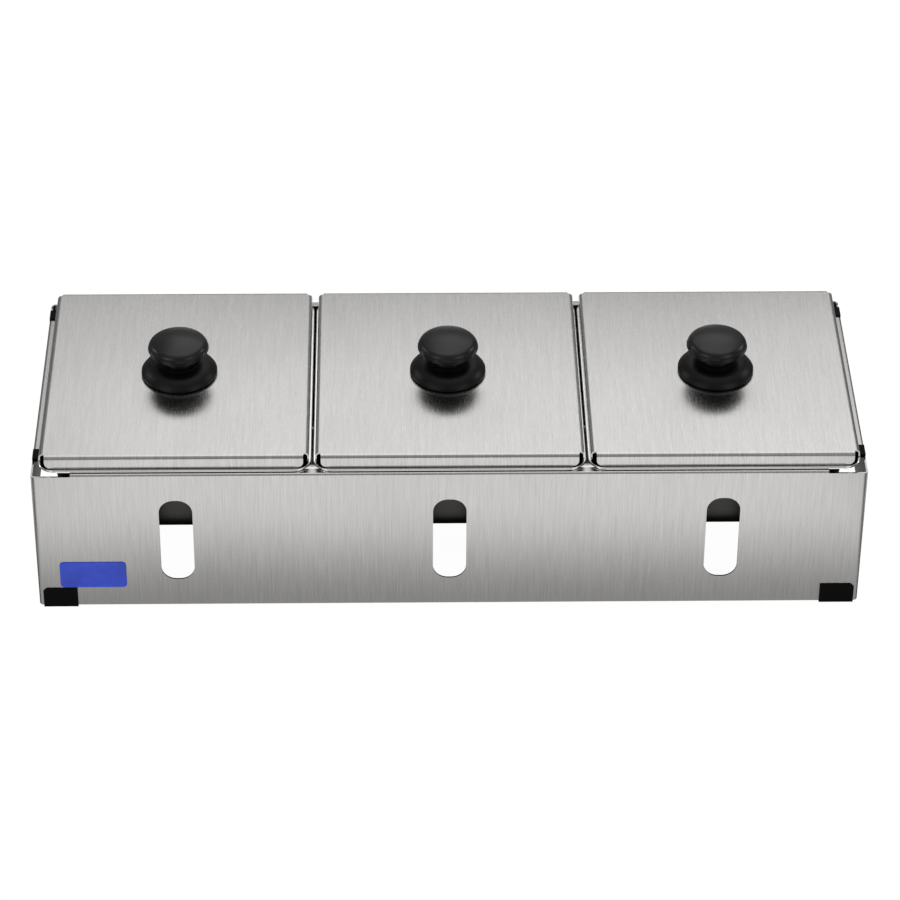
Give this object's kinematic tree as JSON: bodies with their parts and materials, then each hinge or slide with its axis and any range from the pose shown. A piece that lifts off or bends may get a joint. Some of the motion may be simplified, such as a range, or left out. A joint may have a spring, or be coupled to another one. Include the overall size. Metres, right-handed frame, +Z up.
{
  "type": "countertop serving caddy with lidded pans",
  "caption": "Bent steel countertop frame that carries lift-out food pans side by side, each under a loose flat lid with a round black knob.",
  "frame": {"origin": "centre of the footprint, on the plane that the foot clips stand on", "axes": "+X along the row of pans to the right, +Y to the back, +Z up"},
  "size_m": [0.4962, 0.1836, 0.1344],
  "materials": {
    "frame_steel": "brushed sheet, grain upright on the walls",
    "pan_steel": "drawn sheet, satin inside, brighter rolled rim",
    "lid_steel": "brushed sheet, grain front to back",
    "screw_steel": "plain turned steel",
    "insert_brass": "turned brass",
    "knob_plastic": "satin black moulding",
    "clip_plastic": "dull black push-on clip",
    "badge_plastic": "plain glossy blue plate, left blank"
  },
  "bodies": {
    "frame": {"frame_front": "frame_steel", "frame_back": "frame_steel", "frame_left": "frame_steel", "frame_right": "frame_steel", "foot_front_left": "clip_plastic", "foot_front_right": "clip_plastic", "foot_back_left": "clip_plastic", "foot_back_right": "clip_plastic", "clip_front_left": "clip_plastic", "clip_front_right": "clip_plastic", "clip_back_left": "clip_plastic", "clip_back_right": "clip_plastic", "badge": "badge_plastic"},
    "left_pan": {"pan_left": "pan_steel"},
    "left_lid": {"lid_left": "lid_steel", "skirt_left": "knob_plastic", "cap_left": "knob_plastic", "insert_left": "insert_brass", "screw_left": "screw_steel", "washer_left": "screw_steel"},
    "middle_pan": {"pan_middle": "pan_steel"},
    "middle_lid": {"lid_middle": "lid_steel", "skirt_middle": "knob_plastic", "cap_middle": "knob_plastic", "insert_middle": "insert_brass", "screw_middle": "screw_steel", "washer_middle": "screw_steel"},
    "right_pan": {"pan_right": "pan_steel"},
    "right_lid": {"lid_right": "lid_steel", "skirt_right": "knob_plastic", "cap_right": "knob_plastic", "insert_right": "insert_brass", "screw_right": "screw_steel", "washer_right": "screw_steel"}
  },
  "joints": [
    {"name": "left_pan_lift", "type": "slide", "parent": "frame", "child": "left_pan", "axis": [0, 0, 1], "range_m": [0, 0.1]},
    {"name": "middle_pan_lift", "type": "slide", "parent": "frame", "child": "middle_pan", "axis": [0, 0, 1], "range_m": [0, 0.1]},
    {"name": "right_pan_lift", "type": "slide", "parent": "frame", "child": "right_pan", "axis": [0, 0, 1], "range_m": [0, 0.1]},
    {"name": "left_lid_lift", "type": "slide", "parent": "left_pan", "child": "left_lid", "axis": [0, 0, 1], "range_m": [0, 0.08]},
    {"name": "middle_lid_lift", "type": "slide", "parent": "middle_pan", "child": "middle_lid", "axis": [0, 0, 1], "range_m": [0, 0.08]},
    {"name": "right_lid_lift", "type": "slide", "parent": "right_pan", "child": "right_lid", "axis": [0, 0, 1], "range_m": [0, 0.08]}
  ]
}
